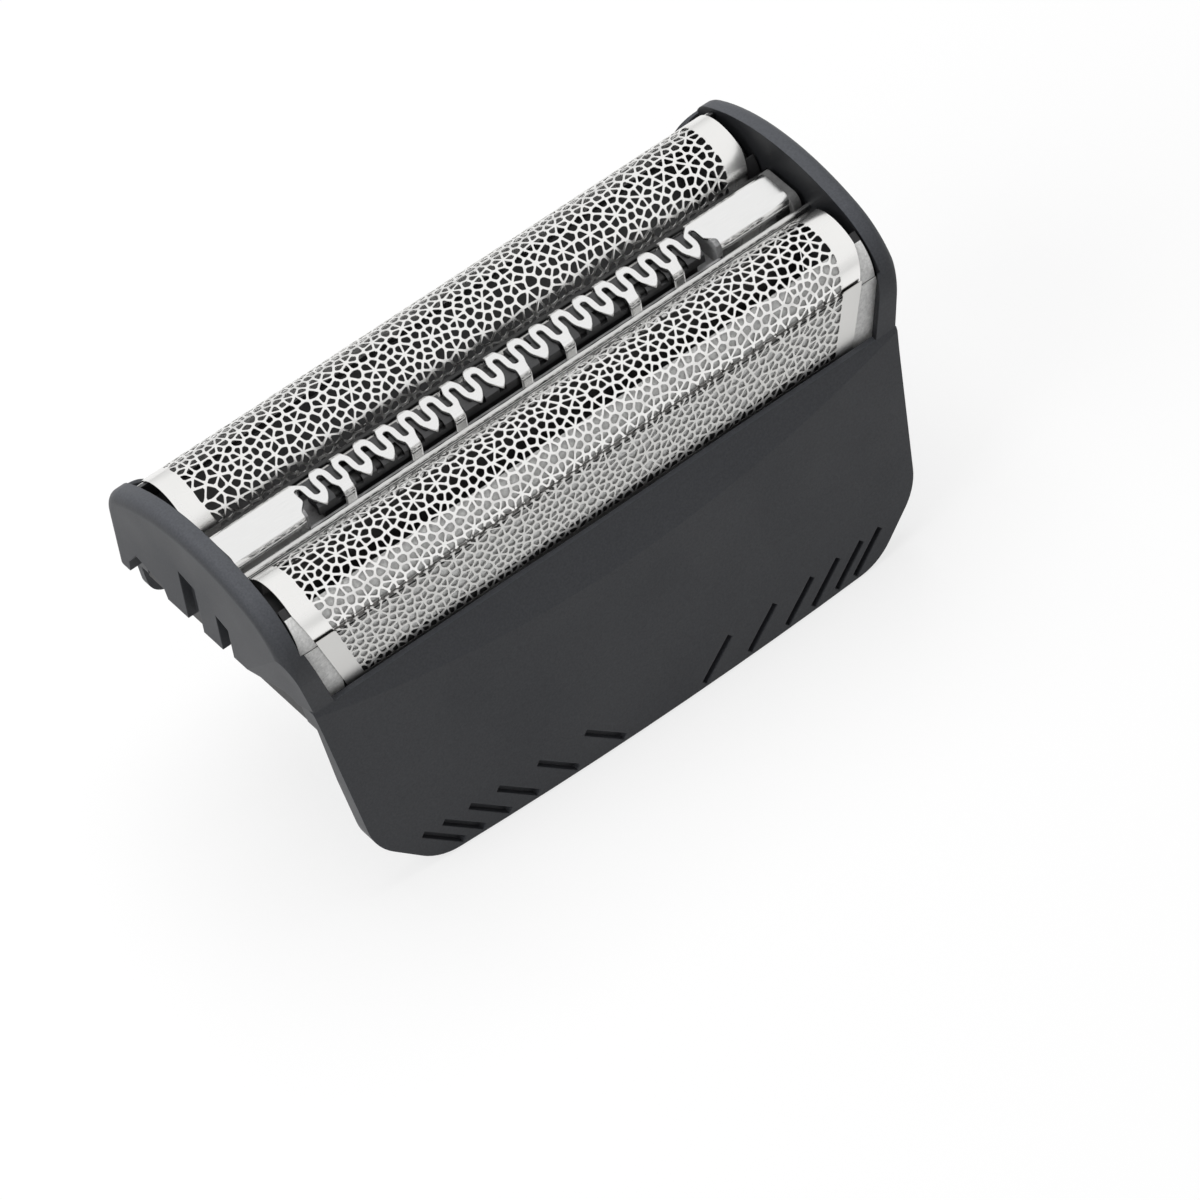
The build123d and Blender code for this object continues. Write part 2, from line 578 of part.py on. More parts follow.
def trimmer_slider():
    """The drive slider: a bar that fills the blade, and a forked tongue that moves it from below."""
    half = BLADE_LENGTH / 2 - SLIDER_END_GAP
    width = BLADE_WIDTH - 2 * SHEET
    top_z = BLADE_TOP_Z - SHEET
    body = block((-half, half), (-width / 2, width / 2), (COMB_FOOT_Z + RUN_GAP, top_z))
    body = fillet(top_edges(body), TRIM_CORNER_R - 2 * SHEET)
    foot_z = BASE_FOOT_Z - TONGUE_DROP
    body += block(
        (-TONGUE_LENGTH / 2, TONGUE_LENGTH / 2),
        (-TONGUE_WIDTH / 2, TONGUE_WIDTH / 2),
        (foot_z, COMB_FOOT_Z + RUN_GAP),
    )
    body -= block(
        (-FORK_WIDTH / 2, FORK_WIDTH / 2), (-TONGUE_WIDTH, TONGUE_WIDTH), (foot_z - 1, foot_z + FORK_DEPTH)
    )
    return body


def end_clip():
    """The right-hand clip: a plate across the trimmer's end and a key that runs in the end wall's groove."""
    half = TRIM_LENGTH / 2
    side = TRIM_WIDTH / 2 + CLIP_SIDE
    plate = block((half, CLIP_X), (-side, side), (BASE_FOOT_Z, TRIM_TOP_Z - CLIP_DROP))
    plate = fillet(top_edges(plate), TRIM_CORNER_R)
    key = block(
        (CLIP_X, CLIP_X + KEY_DEPTH), (-KEY_WIDTH / 2, KEY_WIDTH / 2), (KEY_TOP_Z - KEY_HEIGHT, KEY_TOP_Z)
    )
    return plate + key


def leaf_spring():
    """The right-hand leaf spring: a bowed strip between its seat and the trimmer base."""
    near = WALL_X - SEAT_LENGTH + SPRING_INSET
    far = near + SPRING_LENGTH
    middle = (near + far) / 2
    low, high = SEAT_Z, BASE_FOOT_Z
    with BuildSketch(Plane.XZ) as sketch:
        with BuildLine():
            ThreePointArc((near, low), (middle, high), (far, low))
            Line((far, low), (far - SPRING_THICK * 2, low))
            ThreePointArc(
                (far - SPRING_THICK * 2, low), (middle, high - SPRING_THICK), (near + SPRING_THICK * 2, low)
            )
            Line((near + SPRING_THICK * 2, low), (near, low))
        make_face()
    return extrude(sketch.sketch, SPRING_WIDTH / 2, both=True)


def wire(y):
    """A steel wire from end wall to end wall."""
    return Pos(0, y, WIRE_Z) * Cylinder(WIRE_R, 2 * (WIRE_END_X - WIRE_GAP), rotation=(0, 90, 0))


def pieces():
    """Every piece of the head by name."""
    one_foil, one_carrier = foil(), carrier()
    clip, spring = end_clip(), leaf_spring()
    return {
        "frame": frame(),
        "front_foil": Pos(0, -FOIL_Y, 0) * one_foil,
        "rear_foil": rear_of(one_foil),
        "front_carrier": Pos(0, -FOIL_Y, 0) * one_carrier,
        "rear_carrier": rear_of(one_carrier),
        "trimmer_comb": trimmer_comb(),
        "trimmer_blade": trimmer_blade(),
        "trimmer_base": trimmer_base(),
        "trimmer_slider": trimmer_slider(),
        "right_end_clip": clip,
        "left_end_clip": mirror(clip, Plane.YZ),
        "right_spring": spring,
        "left_spring": mirror(spring, Plane.YZ),
        "front_wire": wire(-WIRE_Y),
        "rear_wire": wire(WIRE_Y),
    }


os.makedirs("parts", exist_ok=True)
for name, shape in pieces().items():
    export_step(shape, f"parts/{name}.step")
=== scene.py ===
import math
import random

import bpy
import numpy as np
from mathutils import Matrix, Vector


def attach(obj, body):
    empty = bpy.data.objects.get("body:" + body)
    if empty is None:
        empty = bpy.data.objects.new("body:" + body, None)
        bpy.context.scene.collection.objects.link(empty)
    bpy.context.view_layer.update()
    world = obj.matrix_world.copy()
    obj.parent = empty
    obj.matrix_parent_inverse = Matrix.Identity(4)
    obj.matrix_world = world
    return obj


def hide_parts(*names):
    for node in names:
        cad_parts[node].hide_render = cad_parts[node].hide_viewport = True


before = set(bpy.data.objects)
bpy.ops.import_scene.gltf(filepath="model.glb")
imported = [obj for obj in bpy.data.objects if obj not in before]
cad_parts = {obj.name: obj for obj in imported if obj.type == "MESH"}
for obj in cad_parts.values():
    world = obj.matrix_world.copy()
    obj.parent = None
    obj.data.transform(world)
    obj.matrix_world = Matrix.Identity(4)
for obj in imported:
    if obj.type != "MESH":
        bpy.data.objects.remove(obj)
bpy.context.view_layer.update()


# Frame: one injection moulding in charcoal ABS, with a fine eroded grain on all outer faces.
# It pushes over the shaver's neck by its open underside and carries everything else between
# its two end walls, which rise to crowns. Its tone has painted highlight on faces that look up
# and painted shade on faces that look inwards.
MM = 0.001
CHARCOAL = (0.038, 0.040, 0.045)
# Painted light: faces that look up are lightened as painted highlight, and faces that look inwards
# are darkened as painted shade.
TOP_LIT_FACING, PAINTED_TOP_LIGHT = (0.3, 0.95), (0.9, 1.75)
INWARD_FACING, PAINTED_INWARD_SHADE = (-0.02, 0.0), (0.4, 1.0)
PLASTIC_SHEEN, PLASTIC_SHADES = 0.26, (0.86, 1.16)
GRAIN_STRENGTH, FLOW_SCALE = 0.35, 130.0
NOISE_SPAN = (0.3, 0.7)


def node_maker(tree):
    """A way to add nodes to a tree, with inputs given as values or as other nodes' outputs."""

    def add(kind, inputs=(), **settings):
        node = tree.nodes.new("ShaderNode" + kind)
        for key, value in settings.items():
            setattr(node, key, value)
        for key, value in inputs:
            if hasattr(value, "is_output"):
                tree.links.new(value, node.inputs[key])
            else:
                node.inputs[key].default_value = value
        return node

    return add


def new_material(name):
    """A node material with its main shader, and a way to add nodes to it."""
    material = bpy.data.materials.new(name)
    material.use_nodes = True
    tree = material.node_tree
    return material, tree.links, tree.nodes["Principled BSDF"], node_maker(tree)


def spread(add, value, given, wanted):
    """A value taken from one range to another."""
    limits = zip(("From Min", "From Max", "To Min", "To Max"), (*given, *wanted))
    return add("MapRange", [("Value", value), *limits]).outputs["Result"]


def shaded(add, value, colour, shades, span=(0.0, 1.0)):
    """A colour that goes from its first shade to its second one as the value crosses a span."""
    ramp = add("ValToRGB", [("Fac", value)])
    for stop, place, shade in zip(ramp.color_ramp.elements, span, shades):
        stop.position = place
        stop.color = [shade * part for part in colour] + [1]
    return ramp.outputs["Color"]


def painted_light_tone(add, place, colour):
    """Painted light on the frame's colour: painted highlight on faces that look up, painted shade
    on those that look inwards.
    """
    facing = add("SeparateXYZ", [("Vector", add("TexCoord").outputs["Normal"])]).outputs
    along = add("SeparateXYZ", [("Vector", place)]).outputs["X"]
    outward = add("Math", [(0, along), (1, facing["X"])], operation="MULTIPLY").outputs[0]
    painted_shade_inward = spread(add, outward, INWARD_FACING, PAINTED_INWARD_SHADE)
    painted_light_from_above = spread(add, facing["Z"], TOP_LIT_FACING, PAINTED_TOP_LIGHT)
    shade = add("Math", [(0, painted_shade_inward), (1, painted_light_from_above)], operation="MULTIPLY").outputs[0]
    return add("VectorMath", [(0, colour), ("Scale", shade)], operation="SCALE").outputs["Vector"]


def moulded_plastic(name, colour, gloss_range, grain_size, grain_depth, edge_round, with_painted_light=False):
    """Moulded plastic: eroded grain, slightly uneven gloss and tone, softened edges, and painted
    highlight and shade if asked for.
    """
    material, links, shader, add = new_material(name)
    shader.inputs["Specular IOR Level"].default_value = PLASTIC_SHEEN
    place = add("TexCoord").outputs["Object"]
    fine = [("Vector", place), ("Scale", 1 / (grain_size * MM)), ("Detail", 3.0)]
    grain = add("TexNoise", fine).outputs["Fac"]
    eased = add("Bevel", [("Radius", edge_round * MM)], samples=6).outputs["Normal"]
    relief = [("Height", grain), ("Strength", GRAIN_STRENGTH), ("Distance", grain_depth * MM)]
    bump = add("Bump", relief + [("Normal", eased)]).outputs["Normal"]
    flow = add("TexNoise", [("Vector", place), ("Scale", FLOW_SCALE), ("Detail", 4.0)])
    gloss = spread(add, flow.outputs["Fac"], NOISE_SPAN, gloss_range)
    tone = shaded(add, grain, colour, PLASTIC_SHADES, NOISE_SPAN)
    # Painted highlight and painted shade by facing, used for the frame.
    if with_painted_light:
        tone = painted_light_tone(add, place, tone)
    for socket, output in (("Normal", bump), ("Roughness", gloss), ("Base Color", tone)):
        links.new(output, shader.inputs[socket])
    return material


def finish_node(node_name, material):
    """Gives a piece that keeps its solid's own shape its material."""
    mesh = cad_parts[node_name].data
    mesh.materials.clear()
    mesh.materials.append(material)


frame_plastic = moulded_plastic(
    "charcoal_frame_plastic",
    CHARCOAL,
    gloss_range=(0.42, 0.56),
    grain_size=0.16,
    grain_depth=0.02,
    edge_round=0.12,
    # The frame's colour gets painted highlight on top and painted shade inside.
    with_painted_light=True,
)
finish_node("frame", frame_plastic)


# Guide wires: two drawn steel rods beside the trimmer, the front one bright and the rear one
# blackened, pushed into blind holes in the end walls. They keep the foils and the trimmer apart.
STEEL, BLACKENED_STEEL = (0.66, 0.66, 0.65), (0.06, 0.06, 0.06)
LINE_STRETCH, LINE_STRENGTH = (0.04, 1.0, 1.0), 0.2
LINE_GLOSS, LINE_SHADES = (0.75, 1.3), (0.92, 1.06)


def drawn_steel(name, colour, roughness, line_size, line_depth):
    """Steel with faint lines along the length of the head."""
    material, links, shader, add = new_material(name)
    shader.inputs["Metallic"].default_value = 1.0
    place = add("TexCoord").outputs["Object"]
    stretched = add("Mapping", [("Vector", place), ("Scale", LINE_STRETCH)]).outputs["Vector"]
    fine = [("Vector", stretched), ("Scale", 1 / (line_size * MM)), ("Detail", 2.0)]
    lines = add("TexNoise", fine).outputs["Fac"]
    relief = [("Height", lines), ("Strength", LINE_STRENGTH), ("Distance", line_depth * MM)]
    bump = add("Bump", relief).outputs["Normal"]
    gloss = spread(add, lines, NOISE_SPAN, [part * roughness for part in LINE_GLOSS])
    tone = shaded(add, lines, colour, LINE_SHADES)
    for socket, output in (("Normal", bump), ("Roughness", gloss), ("Base Color", tone)):
        links.new(output, shader.inputs[socket])
    return material


for wire, steel_name, colour, roughness in (
    ("front_wire", "drawn_wire_steel", STEEL, 0.18),
    ("rear_wire", "blackened_wire_steel", BLACKENED_STEEL, 0.35),
):
    finish_node(wire, drawn_steel(steel_name, colour, roughness, line_size=0.05, line_depth=0.002))


# Leaf springs: thin bowed strips of spring steel that lie loose on the frame's seats
# and press the trimmer up from below.
SPRING_STEEL = (0.42, 0.41, 0.39)
spring_steel = drawn_steel(
    "blued_spring_steel", SPRING_STEEL, roughness=0.3, line_size=0.06, line_depth=0.003
)
for spring in ("left_spring", "right_spring"):
    finish_node(spring, spring_steel)


# Cassettes: dark acetal frames, one for each foil. Two rails hold the foil's flanks
# between arched end plates, whose windows hook on to bosses of the end walls.
DARK_ACETAL = (0.03, 0.03, 0.031)
cassette_plastic = moulded_plastic(
    "dark_cassette_plastic",
    DARK_ACETAL,
    gloss_range=(0.4, 0.54),
    grain_size=0.22,
    grain_depth=0.01,
    edge_round=0.12,
)
for cassette in ("front_carrier", "rear_carrier"):
    finish_node(cassette, cassette_plastic)


# Liners: light grey plastic mouldings on the outer rails and round the end plates. Their lip
# curls in under the arch, so they show through the lower holes of the foil and beside its ends.
CASSETTE_Y, ARCH_AXIS_Z = 6.6, 24.2
LINER_FOOT, LINER_TOP, LINER_Y = 19.6, 23.9, (3.57, 3.65)
LINER_END_FOOT, LINER_X = 17.6, (23.3, 26.2)
LIP_HALF_LENGTH, LIP_R, LIP_TURN = 24.6, (3.38, 3.45), math.radians(51)
COVER_X, COVER_R, COVER_TURN = (24.65, 26.2), (3.505, 3.525), math.radians(48)
TURN_STEPS = 10
LIGHT_GREY = (0.74, 0.74, 0.73)


def prisms_as(name, prisms):
    """One object made of bars along x, each given by its two ends and its section's corners."""
    points, faces = [], []
    sides = ((3, 2, 1, 0), (4, 5, 6, 7), (0, 1, 5, 4), (1, 2, 6, 5), (2, 3, 7, 6), (3, 0, 4, 7))
    for ends, section in prisms:
        first = len(points)
        points += [(x * MM, y * MM, z * MM) for x in ends for y, z in section]
        faces += [[first + corner for corner in ring] for ring in sides]
    mesh = bpy.data.meshes.new(name)
    mesh.from_pydata(points, [], faces)
    made = bpy.data.objects.new(name, mesh)
    bpy.context.scene.collection.objects.link(made)
    return made


def upright(foot, top):
    """Section of a flat strip outside the rail."""
    near, far = LINER_Y
    return [(near, foot), (far, foot), (far, top), (near, top)]


def curled(radii, turn):
    """Sections of a strip that goes on upwards from the flat one and follows the arch."""
    stations = [(1.0, 0.0, LINER_TOP)]
    for step in range(TURN_STEPS + 1):
        angle = turn * step / TURN_STEPS
        stations.append((math.cos(angle), math.sin(angle), ARCH_AXIS_Z))
    rows = [[(r * out, z + r * up) for r in radii] for out, up, z in stations]
    return [(near[0], near[1], far[1], far[0]) for near, far in zip(rows[:-1], rows[1:])]


liner_plastic = moulded_plastic(
    "light_liner_plastic",
    LIGHT_GREY,
    gloss_range=(0.4, 0.55),
    grain_size=0.22,
    grain_depth=0.01,
    edge_round=0.02,
)
for side, end in ((-1, "front"), (1, "rear")):
    bars = [((-LINER_X[0], LINER_X[0]), upright(LINER_FOOT, LINER_TOP))]
    bars += [((-LIP_HALF_LENGTH, LIP_HALF_LENGTH), section) for section in curled(LIP_R, LIP_TURN)]
    for turned in (1, -1):
        end_strip, end_cover = (sorted(turned * x for x in ends) for ends in (LINER_X, COVER_X))
        bars.append((end_strip, upright(LINER_END_FOOT, LINER_TOP)))
        bars += [(end_cover, section) for section in curled(COVER_R, COVER_TURN)]
    bars = [(ends, [(side * (CASSETTE_Y + y), z) for y, z in section]) for ends, section in bars]
    if side < 0:
        bars = [(ends, section[::-1]) for ends, section in bars]
    liners = prisms_as(end + "_liners", bars)
    liners.data.materials.append(liner_plastic)
    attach(liners, end + "_cassette")


# Foils: electroformed nickel, less than 0.1 mm thick. An arched sheet tucks in behind two flat
# flanks, which lie along the cassette's rails. The holes stand in rosettes, and the ends taper
# and stay plain.
FOIL_TOP, FOIL_FOOT = 27.9, 16.85
FOIL_HALF_LENGTH, ARCH_HALF_WIDTH, FLANK_HALF_WIDTH = 25.6, 3.6, 3.83
INNER_HALF_LENGTH = 24.6
ARCH_SHEET, FLANK_SHEET = 0.07, 0.07
ARCH_FOOT, FLANK_TOP, SHADED_EDGE = ARCH_AXIS_Z, 24.6, 0.42
TAPER_TOP, END_TAPER = 27.0, 0.3
PLAIN_END, END_STEP = 1.7, 0.3
PLAIN_FLANK_FOOT, PLAIN_ARCH_EDGE, SEED_MARGIN = 1.95, 0.25, 0.1
ROW_RATIO = 0.866
HUB_STEP, HUB_START, HUB_STRAY = 2.4, 0.4, 0.22
HUB_PETALS, PETAL_OUT, PETAL_STRAY = 6, 0.53, 0.1
HOLE_STEP, HOLE_STRAY, HOLE_CLEAR = 0.78, 0.15, 0.52
PATTERN_SEED, SETTLE_ROUNDS, NEIGHBOURS = 11, 4, 40
WEB, CORNER_EASE, ROUNDNESS, SMALLEST_HOLE = 0.19, 0.2, 0.95, 0.45
FOIL_SHARP_ANGLE = math.radians(40)
# The flanks' nickel has a satin gloss, and its darker tone is painted shade.
NICKEL, SHADED_SATIN_NICKEL = (0.88, 0.875, 0.86), (0.64, 0.635, 0.62)
# The dark copy of the nickel is painted shade, on the foils' insides and on the arch's edge strips
# behind the flanks.
SHADED_NICKEL = (0.16, 0.155, 0.15)
SKIN_SCALE, SKIN_STRENGTH, SKIN_DEPTH = 9000.0, 0.25, 0.004
CLOUD_SCALE, NICKEL_SHADES = 260.0, (0.94, 1.06)
SAME = 1e-6

crest = FOIL_TOP - ARCH_FOOT
arch_r = (ARCH_HALF_WIDTH**2 + crest**2) / (2 * crest)
arch_z = FOIL_TOP - arch_r
arch_start = math.asin((ARCH_FOOT - arch_z) / arch_r)
arch_length = arch_r * (math.pi - 2 * arch_start)
flank_length = FLANK_TOP - FOIL_FOOT


def clip(outline, nx, ny, limit):
    """The part of a convex outline on the near side of a line."""
    kept = []
    for (ax, ay), (bx, by) in zip(outline, outline[1:] + outline[:1]):
        a, b = ax * nx + ay * ny - limit, bx * nx + by * ny - limit
        if a <= 0:
            kept.append((ax, ay))
        if a * b < 0:
            share = a / (a - b)
            kept.append((ax + (bx - ax) * share, ay + (by - ay) * share))
    return kept


def cells_round(seeds, low, high):
    """For each seed, the outline of the area that is nearest to it."""
    points = np.array(seeds)
    rim = [(low[0], low[1]), (high[0], low[1]), (high[0], high[1]), (low[0], high[1])]
    outlines = []
    for x, y in seeds:
        away = np.hypot(points[:, 0] - x, points[:, 1] - y)
        outline = rim
        for near in np.argsort(away)[1:NEIGHBOURS]:
            reach = max(math.hypot(px - x, py - y) for px, py in outline)
            if away[near] > 2 * reach:
                break
            qx, qy = points[near]
            outline = clip(outline, qx - x, qy - y, (qx * qx + qy * qy - x * x - y * y) / 2)
        outlines.append(outline)
    return outlines


def centroid(outline):
    """Centre and area of an outline."""
    area = cx = cy = 0.0
    for (ax, ay), (bx, by) in zip(outline, outline[1:] + outline[:1]):
        cross = ax * by - bx * ay
        area += cross / 2
        cx += (ax + bx) * cross / 6
        cy += (ay + by) * cross / 6
    return cx / area, cy / area, area


def rosette_seeds(low, high):
    """Hole centres: petals round hubs in staggered rows, and holes that fill up the rest."""
    rng = random.Random(PATTERN_SEED)
    length, width = high[0] - low[0], high[1] - low[1]

    def stray(reach):
        return rng.uniform(-reach, reach)

    def inside(point):
        return all(low[i] + SEED_MARGIN < point[i] < high[i] - SEED_MARGIN for i in (0, 1))

    hubs, petals = [], []
    row_step = HUB_STEP * ROW_RATIO
    for row in range(int(width / row_step) + 2):
        for k in range(int(length / HUB_STEP) + 3):
            hub_x = low[0] + (k - 0.5 + 0.5 * (row % 2)) * HUB_STEP + stray(HUB_STRAY)
            hub_y = low[1] + (row + HUB_START) * row_step + stray(HUB_STRAY)
            hubs.append((hub_x, hub_y))
            start = rng.uniform(0, math.tau)
            for petal in range(HUB_PETALS):
                angle = start + (petal + stray(PETAL_STRAY)) * math.tau / HUB_PETALS
                out, up = PETAL_OUT * math.cos(angle), PETAL_OUT * math.sin(angle)
                petals.append((hub_x + out, hub_y + up))
    petals = [petal for petal in petals if inside(petal)]
    fill = []
    row_step = HOLE_STEP * ROW_RATIO
    for row in range(int(width / row_step) + 1):
        for k in range(int(length / HOLE_STEP) + 1):
            x = low[0] + (k + 0.25 + 0.5 * (row % 2)) * HOLE_STEP + stray(HOLE_STRAY)
            y = low[1] + (row + 0.5) * HOLE_STEP * ROW_RATIO + stray(HOLE_STRAY)
            clear = min(math.hypot(x - hub_x, y - hub_y) for hub_x, hub_y in hubs)
            if clear > PETAL_OUT + HOLE_CLEAR * HOLE_STEP and inside((x, y)):
                fill.append((x, y))
    for settle in range(SETTLE_ROUNDS):
        outlines = cells_round(petals + fill, low, high)
        fill = [centroid(outline)[:2] for outline in outlines[len(petals) :]]
    return petals + fill


class Sheet:
    """A flat pattern of faces that is later bent to shape and given its thickness."""

    def __init__(self):
        self.points, self.faces, self.index = [], [], {}

    def point(self, x, run):
        key = (round(x, 3), round(run, 3))
        if key not in self.index:
            self.index[key] = len(self.points)
            self.points.append((x, run))
        return self.index[key]

    def face(self, corners):
        ring = []
        for corner in (self.point(*c) for c in corners):
            if corner not in ring:
                ring.append(corner)
        if len(ring) > 2:
            self.faces.append(ring)

    def bent(self, place, thickness, flip, finish=0, shaded_edge=0.0):
        """Points and faces of the bent sheet: outer face, free edges' walls and inner face.

        The inner face has finish 1, the painted shade of the foil's inside, and so has the outer
        one within shaded_edge of the sheet's two long edges, as painted shade in the gap behind
        the flanks.
        """
        count = len(self.points)
        points = [place(x, run, 0.0) for x, run in self.points]
        points += [place(x, run, thickness) for x, run in self.points]
        faces = [list(ring) for ring in self.faces]
        used = set()
        for ring in faces:
            used.update(zip(ring, ring[1:] + ring[:1]))
        faces += [[b, a, a + count, b + count] for a, b in sorted(used) if (b, a) not in used]
        walls = len(faces) - len(self.faces)
        faces += [[corner + count for corner in reversed(ring)] for ring in self.faces]
        if flip:
            faces = [ring[::-1] for ring in faces]
        last = max(run for x, run in self.points)
        # Painted shade: the outer face's strips along the long edges take the dark inside finish.
        near_edge = [min(run, last - run) < shaded_edge for x, run in self.points]
        finishes = [
            1 if all(near_edge[corner] for corner in ring) else finish for ring in self.faces
        ]
        finishes += [finish] * walls + [1] * len(self.faces)
        return points, faces, finishes


def joined(name, shells, sharp_angle):
    """One object made of several bent sheets."""
    points, faces, finishes = [], [], []
    for shell_points, shell_faces, shell_finishes in shells:
        faces += [[corner + len(points) for corner in ring] for ring in shell_faces]
        points += shell_points
        finishes += shell_finishes
    mesh = bpy.data.meshes.new(name)
    mesh.from_pydata([[MM * value for value in point] for point in points], [], faces)
    mesh.polygons.foreach_set("material_index", finishes)
    mesh.validate()
    mesh.shade_smooth()
    mesh.set_sharp_from_angle(angle=sharp_angle)
    made = bpy.data.objects.new(name, mesh)
    bpy.context.scene.collection.objects.link(made)
    return made


def foil_pattern(holes_low, holes_high, sheet_low, sheet_high):
    """A sheet of foil unrolled: a pierced field with plain bands round it.

    Holes that reach the sheet's edge stay open.
    """
    low = (PLAIN_END - FOIL_HALF_LENGTH, holes_low)
    high = (FOIL_HALF_LENGTH - PLAIN_END, holes_high)
    sheet = Sheet()

    def at_edge(a, b):
        return any(abs(a[1] - edge) + abs(b[1] - edge) < SAME for edge in (sheet_low, sheet_high))

    def between(a, b):
        """Points on the field's two ends, close enough for the plain bands to bend round."""
        if abs(a[0] - b[0]) > SAME or min(abs(a[0] - low[0]), abs(a[0] - high[0])) > SAME:
            return []
        count = int(abs(b[1] - a[1]) / END_STEP)
        return [(a[0], a[1] + (b[1] - a[1]) * k / (count + 1)) for k in range(1, count + 1)]

    for outline in cells_round(rosette_seeds(low, high), low, high):
        cx, cy, area = centroid(outline)
        shrink = 1 - 0.5 * WEB / (ROUNDNESS * math.sqrt(area / math.pi))
        if shrink < SMALLEST_HOLE:
            sheet.face(outline)
            continue
        hole = [(cx + (x - cx) * shrink, cy + (y - cy) * shrink) for x, y in outline]
        eased = []
        for before, corner, after in zip(hole[-1:] + hole[:-1], hole, hole[1:] + hole[:1]):
            for other in (before, after):
                eased.append([c + CORNER_EASE * (o - c) for c, o in zip(corner, other)])
        for k in range(len(outline)):
            following = (k + 1) % len(outline)
            here, there = outline[k], outline[following]
            sheet.face([here, eased[2 * k + 1], eased[2 * k]])
            if not at_edge(here, there):
                edge = [here, *between(here, there), there]
                sheet.face(edge + [eased[2 * following], eased[2 * k + 1]])
    for near, far in ((low[0], -FOIL_HALF_LENGTH), (high[0], FOIL_HALF_LENGTH)):
        rows = {y for x, y in sheet.points if abs(x - near) < SAME} | {sheet_low, sheet_high}
        rows = sorted(rows)
        for a, b in zip(rows[:-1], rows[1:]):
            ring = [(far, a), (near, a), (near, b), (far, b)]
            sheet.face(ring if far < near else ring[::-1])
    for near, far in ((holes_low, sheet_low), (holes_high, sheet_high)):
        if abs(near - far) > SAME:
            columns = sorted({x for x, y in sheet.points if abs(y - near) < SAME})
            for a, b in zip(columns[:-1], columns[1:]):
                ring = [(a, far), (b, far), (b, near), (a, near)]
                sheet.face(ring if far < near else ring[::-1])
    return sheet


def foil_nickel(name, colour, gloss_range):
    """Electroformed nickel: satin skin with fine growth pits and a faint warm tint."""
    material, links, shader, add = new_material(name)
    shader.inputs["Metallic"].default_value = 1.0
    place = add("TexCoord").outputs["Object"]
    skin = add("TexNoise", [("Vector", place), ("Scale", SKIN_SCALE), ("Detail", 3.0)])
    relief = [("Strength", SKIN_STRENGTH), ("Distance", SKIN_DEPTH * MM)]
    bump = add("Bump", [("Height", skin.outputs["Fac"])] + relief).outputs["Normal"]
    cloud = add("TexNoise", [("Vector", place), ("Scale", CLOUD_SCALE), ("Detail", 4.0)])
    gloss = spread(add, cloud.outputs["Fac"], NOISE_SPAN, gloss_range)
    tone = shaded(add, cloud.outputs["Fac"], colour, NICKEL_SHADES)
    for socket, output in (("Normal", bump), ("Roughness", gloss), ("Base Color", tone)):
        links.new(output, shader.inputs[socket])
    return material


def drawn_in(x, z):
    """A foil's ends stand further in the lower they are."""
    return x * (1 - END_TAPER * max(0.0, TAPER_TOP - z) / FOIL_HALF_LENGTH)


outside_nickel = foil_nickel("electroformed_nickel", NICKEL, gloss_range=(0.2, 0.34))
# Painted shade: a dark copy of the nickel for the foils' insides and the arch's tucked edge
# strips.
shaded_inside_nickel = foil_nickel("painted_shade_inside_nickel", SHADED_NICKEL, gloss_range=(0.5, 0.65))
# Satin gloss on the flanks, with a darker tone as painted shade.
shaded_flank_nickel = foil_nickel("satin_shaded_flank_nickel", SHADED_SATIN_NICKEL, gloss_range=(0.3, 0.42))
arch_pattern = foil_pattern(PLAIN_ARCH_EDGE, arch_length - PLAIN_ARCH_EDGE, 0.0, arch_length)
flank_pattern = foil_pattern(PLAIN_FLANK_FOOT, flank_length, 0.0, flank_length)
plain_pattern = Sheet()
for low, high in ((0.0, flank_length / 2), (flank_length / 2, flank_length)):
    plain_pattern.face([(-1, low), (1, low), (1, high), (-1, high)])
for side, foil, cassette in (
    (-1, "front_foil", "front_cassette"),
    (1, "rear_foil", "rear_cassette"),
):

    def on_arch(x, run, depth):
        turn, r = arch_start + run / arch_r, arch_r - depth
        z = arch_z + r * math.sin(turn)
        return drawn_in(x, z), side * (CASSETTE_Y + r * math.cos(turn)), z

    def on_outer_flank(x, run, depth):
        z = FOIL_FOOT + run
        return drawn_in(x, z), side * (CASSETTE_Y + FLANK_HALF_WIDTH - depth), z

    def on_inner_flank(x, run, depth):
        y = side * (CASSETTE_Y - ARCH_HALF_WIDTH + depth)
        return x * INNER_HALF_LENGTH, y, FOIL_FOOT + run

    shells = [
        arch_pattern.bent(on_arch, ARCH_SHEET, side > 0, 0, SHADED_EDGE),
        flank_pattern.bent(on_outer_flank, FLANK_SHEET, side > 0, 2),
        plain_pattern.bent(on_inner_flank, FLANK_SHEET, side < 0),
    ]
    pierced = joined("pierced_" + foil, shells, FOIL_SHARP_ANGLE)
    for nickel in (outside_nickel, shaded_inside_nickel, shaded_flank_nickel):
        pierced.data.materials.append(nickel)
    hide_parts(foil)
    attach(pierced, cassette)


# Trimmer base and slider: grey and black acetal mouldings. The base is the bar that the comb is
# pressed on to, and the slider under the blade ends in the forked tongue that drives it.
GREY_ACETAL, BLACK_ACETAL = (0.36, 0.36, 0.365), (0.03, 0.03, 0.03)
base_plastic = moulded_plastic(
    "grey_base_plastic",
    GREY_ACETAL,
    gloss_range=(0.36, 0.5),
    grain_size=0.2,
    grain_depth=0.012,
    edge_round=0.08,
)
slider_plastic = moulded_plastic(
    "slider_acetal",
    BLACK_ACETAL,
    gloss_range=(0.3, 0.42),
    grain_size=0.2,
    grain_depth=0.008,
    edge_round=0.08,
)
finish_node("trimmer_base", base_plastic)
finish_node("trimmer_slider", slider_plastic)


# Trimmer blade: a stamped and ground steel channel, cut across into teeth that hang on a spine.
# It sits on the slider and strokes to and fro just under the comb.
BLADE_STEEL = (0.09, 0.09, 0.092)
blade_steel = drawn_steel(
    "dark_blade_steel", BLADE_STEEL, roughness=0.4, line_size=0.04, line_depth=0.003
)
finish_node("trimmer_blade", blade_steel)


